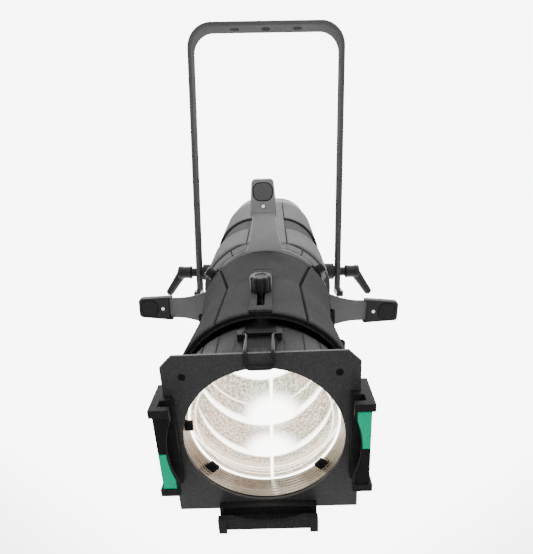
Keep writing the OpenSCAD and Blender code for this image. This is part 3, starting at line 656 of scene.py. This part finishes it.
def shutter(side, layer, sheet, grip, pad_material):
    """One framing shutter: blade, moulded grip with a pad on each face, and its rivet."""
    joint = JOINTS[side + "_shutter_slide"]
    body = side + "_shutter"
    middle = FIRST_BLADE_S + BLADE_PITCH * layer + BLADE_T / 2
    place = station(axes_frame(FORWARD, joint["axis"], PIVOT), middle)
    blade = slab(body + "_sheet", blade_outline(), -BLADE_T / 2, BLADE_T / 2, place, sheet, bevel=0.00025)
    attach(blade, body)
    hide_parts(side + "_blade")
    shell = slab(body + "_grip", grip_outline(), -GRIP_HALF, GRIP_HALF, place, grip, bevel=0.0012, segments=3)
    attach(shell, body)
    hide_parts(side + "_handle")
    pad = rounded_outline(0.0225, 0.0215, 0.0085, steps=8, centre=PAD_MIDDLE, narrow=-0.0006)
    wide = scaled(pad, 1.11, PAD_MIDDLE)
    rim = [(0.0024, 0.0), (0.0034, 0.0), (0.0034, 0.0002), (0.0024, 0.0002)]
    head = [(0.0, 0.0), (0.0024, 0.0), (0.0023, 0.0005), (0.0014, 0.0008), (0.0, 0.0009)]
    for face, word in ((-1, "back"), (1, "front")):
        skin = face * PAD_SEAT
        groove = slab("%s_pad_groove_%s" % (body, word), wide, skin, face * 0.00456, place, LABEL_BLACK)
        rubber = slab("%s_pad_%s" % (body, word), pad, skin, face * 0.0048, place, pad_material, bevel=0.0003)
        turn = Matrix.Rotation(0 if face > 0 else pi, 4, "X")
        seat = place @ Matrix.Translation((0, RIVET_Y, skin)) @ turn
        ring = lathe("%s_rivet_ring_%d" % (body, face + 2), rim, seat, LABEL_BLACK, segments=32)
        dot = lathe("%s_rivet_%d" % (body, face + 2), head, seat, WHITE_DOT, segments=32, ring=False)
        for piece in (groove, rubber, ring, dot):
            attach(piece, body)


# ---- Barrel skin --------------------------------------------------------------------------------

SKIN = ((0.166, 0.087), (0.174, 0.087), (0.246, 0.0795), (0.356, 0.087))
SKIN_REAR, SKIN_FRONT = 0.1668, 0.3557
RIDGE_REAR = (0.2455, 0.2456)
RIDGE_HALF = 0.0103
PANEL_SOFT = 0.0007
PANEL_SUNK = 0.0006


def along(points, s):
    """Value at s on a line through (s, value) points."""
    for (s0, v0), (s1, v1) in zip(points, points[1:]):
        if s <= s1:
            return v0 + (v1 - v0) * (s - s0) / (s1 - s0)
    return points[-1][1]


def panel_lift(gap, height):
    """Height above the skin at a gap from the panel's nearest edge: sunk at the edge, then rounded."""
    if gap < 1e-9:
        return -PANEL_SUNK
    share = min(1.0, gap / PANEL_SOFT)
    return height * sqrt(1 - (1 - share) ** 2)


def raised_panel(
    name, inner, outer, rear, front, side, material, up=1, bevel_inner=True, height=0.0016, skin=SKIN
):
    """Panel standing proud of a round skin, between two angles that change along it."""
    bm = bmesh.new()
    soft = PANEL_SOFT
    steps = [rear, rear + soft * 0.3, rear + soft]
    steps += [rear + (front - rear) * k / 30 for k in range(1, 30)]
    steps += [front - soft, front - soft * 0.3, front]
    steps = sorted(set(steps + [step for step in RIDGE_REAR if rear < step < front]))
    rows = []
    for s in steps:
        radius = along(skin, s)
        low, high = inner(s), outer(s)
        span = (high - low) * radius
        offsets = [0.0, soft * 0.3, soft] + [soft + (span - 2 * soft) * k / 18 for k in range(1, 18)]
        offsets += [span - soft, span - soft * 0.3, span]
        row = []
        for offset in offsets:
            edge_gap = min(span - offset, s - rear, front - s)
            if bevel_inner:
                edge_gap = min(edge_gap, offset)
            angle = low + offset / radius
            reach = radius + panel_lift(edge_gap, height)
            row.append(bm.verts.new((side * reach * sin(angle), -s, up * reach * cos(angle))))
        rows.append(row)
    bridge(bm, rows, closed=False)
    return finish_mesh(name, bm, BARREL, material, sharp=50)


def barrel_skin():
    """Eight raised panels; the creases between them show the casting beneath, coloured near-black as painted
    shade.
    """
    crease = ((0.166, radians(43)), (0.246, radians(31.5)), (0.356, radians(29)))
    shoulder = ((0.166, radians(76)), (0.246, radians(72)), (0.356, radians(70)))
    half_gap = 0.0016
    quarters = (
        (-1, 1, "upper_left"), (1, 1, "upper_right"), (-1, -1, "lower_left"), (1, -1, "lower_right"),
    )
    for side, up, word in quarters:
        middle = raised_panel(
            "barrel_middle_%s" % word,
            lambda s: RIDGE_HALF / along(SKIN, s) if up > 0 and s > RIDGE_REAR[0] else 0.0,
            lambda s: along(crease, s) - half_gap / along(SKIN, s),
            SKIN_REAR, SKIN_FRONT, side, BARREL_CAST, up, bevel_inner=False,
        )
        flank = raised_panel(
            "barrel_flank_%s" % word,
            lambda s: along(crease, s) + half_gap / along(SKIN, s),
            lambda s: along(shoulder, s),
            SKIN_REAR, SKIN_FRONT, side, BARREL_CAST, up,
        )
        for panel in (middle, flank):
            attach(panel, "barrel")


# ---- Housing skin -------------------------------------------------------------------------------

HOUSE_HALF = 0.089
HOUSE_CORNER = 0.068
HOUSE_MEAN_R = 0.092
NOSE = ((0.092, 0.116), (0.148, 0.088))


def housing_radius(s, angle):
    """Distance from the axis to the housing's skin: a square with round corners, cut by the nose's cone."""
    flat = HOUSE_HALF - HOUSE_CORNER
    across, up = abs(sin(angle)), abs(cos(angle))
    reach = HOUSE_HALF / max(across, up)
    if min(across, up) * reach > flat:
        middle = flat * (across + up)
        reach = middle + sqrt(middle**2 - 2 * flat**2 + HOUSE_CORNER**2)
    return min(reach, along(NOSE, max(s, NOSE[0][0])))


def housing_panel(name, low, high, rear, front, height=0.0014):
    """Panel that stands proud of the housing between two angles and two stations."""
    soft = PANEL_SOFT
    spans = [0.0, soft * 0.35, soft]
    stations = [rear + step for step in spans]
    stations += [rear + soft + (front - rear - 2 * soft) * k / 24 for k in range(1, 24)]
    stations += [front - step for step in reversed(spans)]
    width = (high - low) * HOUSE_MEAN_R
    sides = list(spans) + [soft + (width - 2 * soft) * k / 24 for k in range(1, 24)]
    sides += [width - step for step in reversed(spans)]
    bm = bmesh.new()
    rows = []
    for s in stations:
        row = []
        for side in sides:
            angle = low + side / HOUSE_MEAN_R
            gap = min(side, width - side, s - rear, front - s)
            reach = housing_radius(s, angle) + panel_lift(gap, height)
            row.append(bm.verts.new((reach * sin(angle), -s, reach * cos(angle))))
        rows.append(row)
    bridge(bm, rows, closed=False)
    panel = finish_mesh(name, bm, HEAD, HOUSING, sharp=50)
    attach(panel, "head")


def housing_skin():
    """Long raised panels, open over the vents, with creases between them that show the darker casting beneath
    as painted shade, and a lip at the nose.
    """
    crease = radians(17.5)
    shoulder = radians(74)
    gap = radians(0.55)
    rear, lip, front = -0.180, 0.134, 0.1476
    for turn, half in ((0, "top"), (pi, "bottom")):
        housing_panel("housing_%s_middle" % half, turn - crease + gap, turn + crease - gap, rear, lip)
        for side, word in ((-1, "left"), (1, "right")):
            low, high = sorted((turn + side * (crease + gap), turn + side * shoulder))
            housing_panel("housing_%s_%s_rear" % (half, word), low, high, rear, -0.031)
            housing_panel("housing_%s_%s_front" % (half, word), low, high, 0.051, lip)
            if turn == 0:
                low, high = sorted((side * (shoulder + gap), side * (pi - shoulder - gap)))
                housing_panel("housing_%s_side_rear" % word, low, high, rear, -0.038)
                housing_panel("housing_%s_side_front" % word, low, high, 0.038, lip)
        for k in range(4):
            start = turn + radians(-64 + 32 * k) + gap
            end = start + radians(32) - 2 * gap
            housing_panel("housing_%s_lip_%d" % (half, k), start, end, lip + 0.0038, front, 0.0008)


def barrel_mouth():
    """Lip inside the barrel's mouth, close round the lens tube."""
    profile = [
        (0.0841, 0.3480), (0.0841, 0.3552), (0.0836, 0.3556), (0.0818, 0.3552), (0.0814, 0.3546),
        (0.0814, 0.3530), (0.0822, 0.3524), (0.0822, 0.3480),
    ]
    mouth = lathe("barrel_mouth_lip", profile, station(BARREL, 0), BARREL_CAST, sharp=30)
    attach(mouth, "barrel")


def slot_ridge():
    """Ridge along the top of the barrel, open where the focus stud slides."""
    outer = ((0.0106, -0.247), (0.0106, -0.3556), (-0.0106, -0.3556), (-0.0106, -0.247))
    slot = ((0.0036, -0.279), (0.0036, -0.346), (-0.0036, -0.346), (-0.0036, -0.279))
    bm = bmesh.new()
    loops = []
    for outline, height in ((outer, 0.0880), (outer, 0.0906), (slot, 0.0906), (slot, 0.0880)):
        loops.append([bm.verts.new((x, y, height)) for x, y in outline])
    bridge(bm, loops + loops[:1])
    ridge = finish_mesh("barrel_ridge", bm, BARREL, BARREL_CAST, bevel=0.0005)
    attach(ridge, "barrel")


# ---- Tube head ----------------------------------------------------------------------------------

HEAD_SKIN = ((0.366, 0.080), (0.4095, 0.080))
FRAME_FRONT_S = 0.412


def tube_head():
    """Raised panels round the lens tube's head, and black cups set in the colour frame's corner holes as
    painted shade for the holes.
    """
    for side, word in ((-1, "left"), (1, "right")):
        for low, high, place in ((27, 38, "inner"), (40, 56, "outer")):
            panel = raised_panel(
                "tube_head_%s_%s" % (word, place),
                lambda s, a=low: radians(a),
                lambda s, a=high: radians(a),
                0.3675, 0.4085, side, TUBE, height=0.0009, skin=HEAD_SKIN,
            )
            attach(panel, "lens_tube")
        place = station(BARREL, FRAME_FRONT_S) @ Matrix.Translation((side * 0.0625, 0.060, 0))
        # Black cup in the hole: painted shade for the hole's inside.
        cup = [(0.0, -0.0018), (0.0017, -0.0018), (0.0017, 0.0002), (0.0031, 0.0002), (0.0031, 0.0)]
        hole_shade = lathe("frame_eyelet_%s" % word, cup, place, LABEL_BLACK, segments=32, ring=False)
        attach(hole_shade, "lens_tube")


# ---- Levers and knobs ---------------------------------------------------------------------------


def lever(side, word):
    """Locking lever: stepped hub on the pivot bolt and a tapered arm that leans out and down."""
    out = HEAD @ Matrix.Rotation(side * pi / 2, 4, "Y")
    hub = [
        (0.0052, 0.1244), (0.0075, 0.1244), (0.0075, 0.1335), (0.0100, 0.1343), (0.0112, 0.1352),
        (0.0112, 0.1375), (0.0104, 0.1383), (0.0104, 0.1500), (0.0112, 0.1508), (0.0112, 0.1560),
        (0.0100, 0.1578), (0.0065, 0.1584), (0.0060, 0.1570), (0.0052, 0.1570),
    ]
    body = lathe("%s_lever_hub" % word, hub, out, BLACK, segments=48, bevel=0.0004)
    start, tip = Vector((side * 0.1508, 0, 0)), Vector((side * 0.1761, 0, -0.0366))
    run = tip - start
    path = [start + run * k / 8 for k in range(9)]
    radii = [0.0086, 0.0084, 0.0080, 0.0076, 0.0073, 0.0071, 0.0069, 0.0068, 0.0067]
    path += [tip + run.normalized() * step for step in (0.0030, 0.0050, 0.0060)]
    radii += [0.0060, 0.0040, 0.0012]
    loops = []
    across = Vector((0, 1, 0))
    other = run.normalized().cross(across)
    for point, radius in zip(path, radii):
        angles = [2 * pi * k / 24 for k in range(24)]
        loops.append([point + radius * (cos(a) * across * 0.92 + sin(a) * other) for a in angles])
    arm = loft("%s_lever_arm" % word, loops, HEAD, BLACK, sharp=60)
    for piece in (body, arm):
        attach(piece, "%s_lever" % word)
        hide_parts("%s_tilt_lever" % word)


def fluted_knob(name, matrix, radius, height, flutes, depth, material, cap=0.0012):
    """Knob with rounded flutes up its side and a soft top edge."""
    count = flutes * 10
    levels = [(0.0, 0.94), (0.0008, 1.0), (height - cap, 1.0), (height - cap * 0.4, 0.965)]
    levels += [(height, 0.90), (height, 0.55), (height - 0.0008, 0.5), (height - 0.0008, 0.05)]
    loops = []
    for level, share in levels:
        loop = []
        for i in range(count):
            angle = 2 * pi * i / count
            dip = max(0.0, cos(flutes * angle)) ** 2.2 * depth
            if level > height - 0.0009 and share <= 0.55:
                dip = 0.0
            reach = radius * share - dip
            loop.append((reach * cos(angle), reach * sin(angle), level))
        loops.append(loop)
    return loft(name, loops, matrix, material, sharp=48)


FOCUS_KNOB_S = 0.310
FOCUS_KNOB_BASE = 0.0909


def knobs():
    """Tall focus knob on its stud, and the two small knobs at the barrel's rear."""
    seat = BARREL @ Matrix.Translation((0, -FOCUS_KNOB_S, FOCUS_KNOB_BASE))
    knob = fluted_knob(
        "focus_knob_body", seat, radius=0.0108, height=0.0155, flutes=10, depth=0.0016, material=BLACK
    )
    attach(knob, "tube_knob")
    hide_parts("focus_knob")
    for side, word in ((-1, "left"), (1, "right")):
        joint = JOINTS[word + "_knob_turn"]
        seat = axes_frame(FORWARD, joint["axis"], joint["pos_m"]) @ Matrix.Translation((0, 0, 0.0004))
        small = fluted_knob(
            "%s_turn_knob_body" % word, seat, radius=0.0066, height=0.011, flutes=14, depth=0.0009,
            material=BLACK, cap=0.0009,
        )
        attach(small, word + "_knob")
        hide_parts(word + "_turn_knob")


def bail():
    """Sprung wire loop that drops in front of the colour frame's top edge."""
    half, reach, fall, bend = 0.011, 0.029, 0.014, 0.0035
    path = [
        (-half - 0.0045, 0, 0),
        (-half - 0.001, 0, 0),
        (-half, -0.0015, 0),
        (-half, -reach + bend, 0),
        (-half, -reach + bend * 0.3, -bend * 0.3),
        (-half, -reach, -bend),
        (-half, -reach, -fall + bend),
        (-half + bend * 0.3, -reach, -fall + bend * 0.3),
        (-half + bend, -reach, -fall),
    ]
    path += [(-x, y, z) for x, y, z in reversed(path)]
    joint = JOINTS["bail_open"]
    place = BARREL.copy()
    place.translation = joint["pos_m"]
    loop = sweep_tube("bail_wire", path, 0.0015, place, WIRE, sharp=70)
    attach(loop, "bail")
    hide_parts("retaining_bail")


# ---- Studio -------------------------------------------------------------------------------------


def area_light(name, place, target, size, power):
    """Rectangular lamp aimed at a point."""
    light = bpy.data.lights.new(name, "AREA")
    light.shape = "RECTANGLE"
    light.size, light.size_y = size
    light.energy = power
    lamp = bpy.data.objects.new(name, light)
    lamp.location = place
    lamp.rotation_euler = (Vector(target) - Vector(place)).to_track_quat("-Z", "Y").to_euler()
    bpy.context.scene.collection.objects.link(lamp)


GLOW = 6.5
BOWL_DROP = 0.35
BOWL_FLAT = 1.7
BOWL_BEND = 1.2
BOWL_RIM = 5.0
LAMPS = (
    ("key", (-1.2, -1.2, 0.9), (0, -0.2, -0.4), (0.9, 0.9), 8),
    ("fill", (1.4, -1.0, 0.2), (0, -0.2, -0.4), (0.8, 1.2), 10),
    ("top", (0.1, -0.5, 1.1), (0, -0.15, -0.4), (1.0, 0.8), 15),
)


def studio_paper():
    """White paper that glows toward the back of the bowl."""
    white = bpy.data.materials.new("studio_white")
    white.use_nodes = True
    tree = white.node_tree
    paper = tree.nodes["Principled BSDF"]
    paper.inputs["Roughness"].default_value = 0.9
    paper.inputs["Specular IOR Level"].default_value = 0.1
    paper.inputs["Emission Color"].default_value = (1, 1, 1, 1)
    fibre = add(tree, "TexNoise", Scale=3.0, Detail=2.0)
    shades = mix_colour(tree, fibre.outputs["Fac"], grey(0.30), grey(0.32))
    tree.links.new(shades, paper.inputs["Base Color"])
    parts = add(tree, "SeparateXYZ")
    tree.links.new(add(tree, "TexCoord").outputs["Object"], parts.inputs[0])
    aside = calc(tree, "MULTIPLY", calc(tree, "ABSOLUTE", parts.outputs["X"]), 0.7)
    behind = calc(tree, "SUBTRACT", parts.outputs["Y"], aside)
    glow = add(tree, "MapRange", From_Min=-0.7, From_Max=-0.15, To_Min=0.3, To_Max=GLOW)
    tree.links.new(behind, glow.inputs["Value"])
    tree.links.new(glow.outputs["Result"], paper.inputs["Emission Strength"])
    return white


def studio():
    """Bowl of white paper under and behind the object, a dim white world and three soft lights."""
    floor = Matrix.Translation((0, 0, cad_box[0][2] - BOWL_DROP))
    profile = [(0.0, 0.0)]
    for k in range(13):
        angle = pi / 2 * k / 12
        profile.append((BOWL_FLAT + BOWL_BEND * sin(angle), BOWL_BEND * (1 - cos(angle))))
    profile.append((BOWL_FLAT + BOWL_BEND, BOWL_RIM))
    bowl = lathe("studio_bowl", profile, floor, studio_paper(), ring=False, sharp=80)
    world = bpy.data.worlds.new("studio")
    world.use_nodes = True
    world.node_tree.nodes["Background"].inputs["Color"].default_value = (1, 1, 1, 1)
    world.node_tree.nodes["Background"].inputs["Strength"].default_value = 0.16
    bpy.context.scene.world = world
    for lamp in LAMPS:
        area_light(*lamp)


CAMERA_PLACE = (0.00883, -0.7281, -0.2730)
CAMERA_TURNS = ((0.95, "Z"), (-10.22, "X"), (0.61, "Y"), (90, "X"))
CAMERA_LENS = 28.37


def camera():
    """Camera at the photograph's place: 0.73 m in front, looking slightly down."""
    data = bpy.data.cameras.new("camera")
    data.sensor_fit = "HORIZONTAL"
    data.sensor_width = 36
    data.lens = CAMERA_LENS
    body = bpy.data.objects.new("camera", data)
    place = Matrix.Translation(CAMERA_PLACE)
    for degrees, axis in CAMERA_TURNS:
        place = place @ Matrix.Rotation(radians(degrees), 4, axis)
    body.matrix_world = place
    bpy.context.scene.collection.objects.link(body)
    bpy.context.scene.camera = body


camera()
studio()
front_lens()
stepped_ring()
side_labels()
for shutter_side, shutter_make in SHUTTERS.items():
    shutter(shutter_side, *shutter_make)
barrel_skin()
barrel_mouth()
slot_ridge()
tube_head()
housing_skin()
lever(-1, "left")
lever(1, "right")
knobs()
bail()
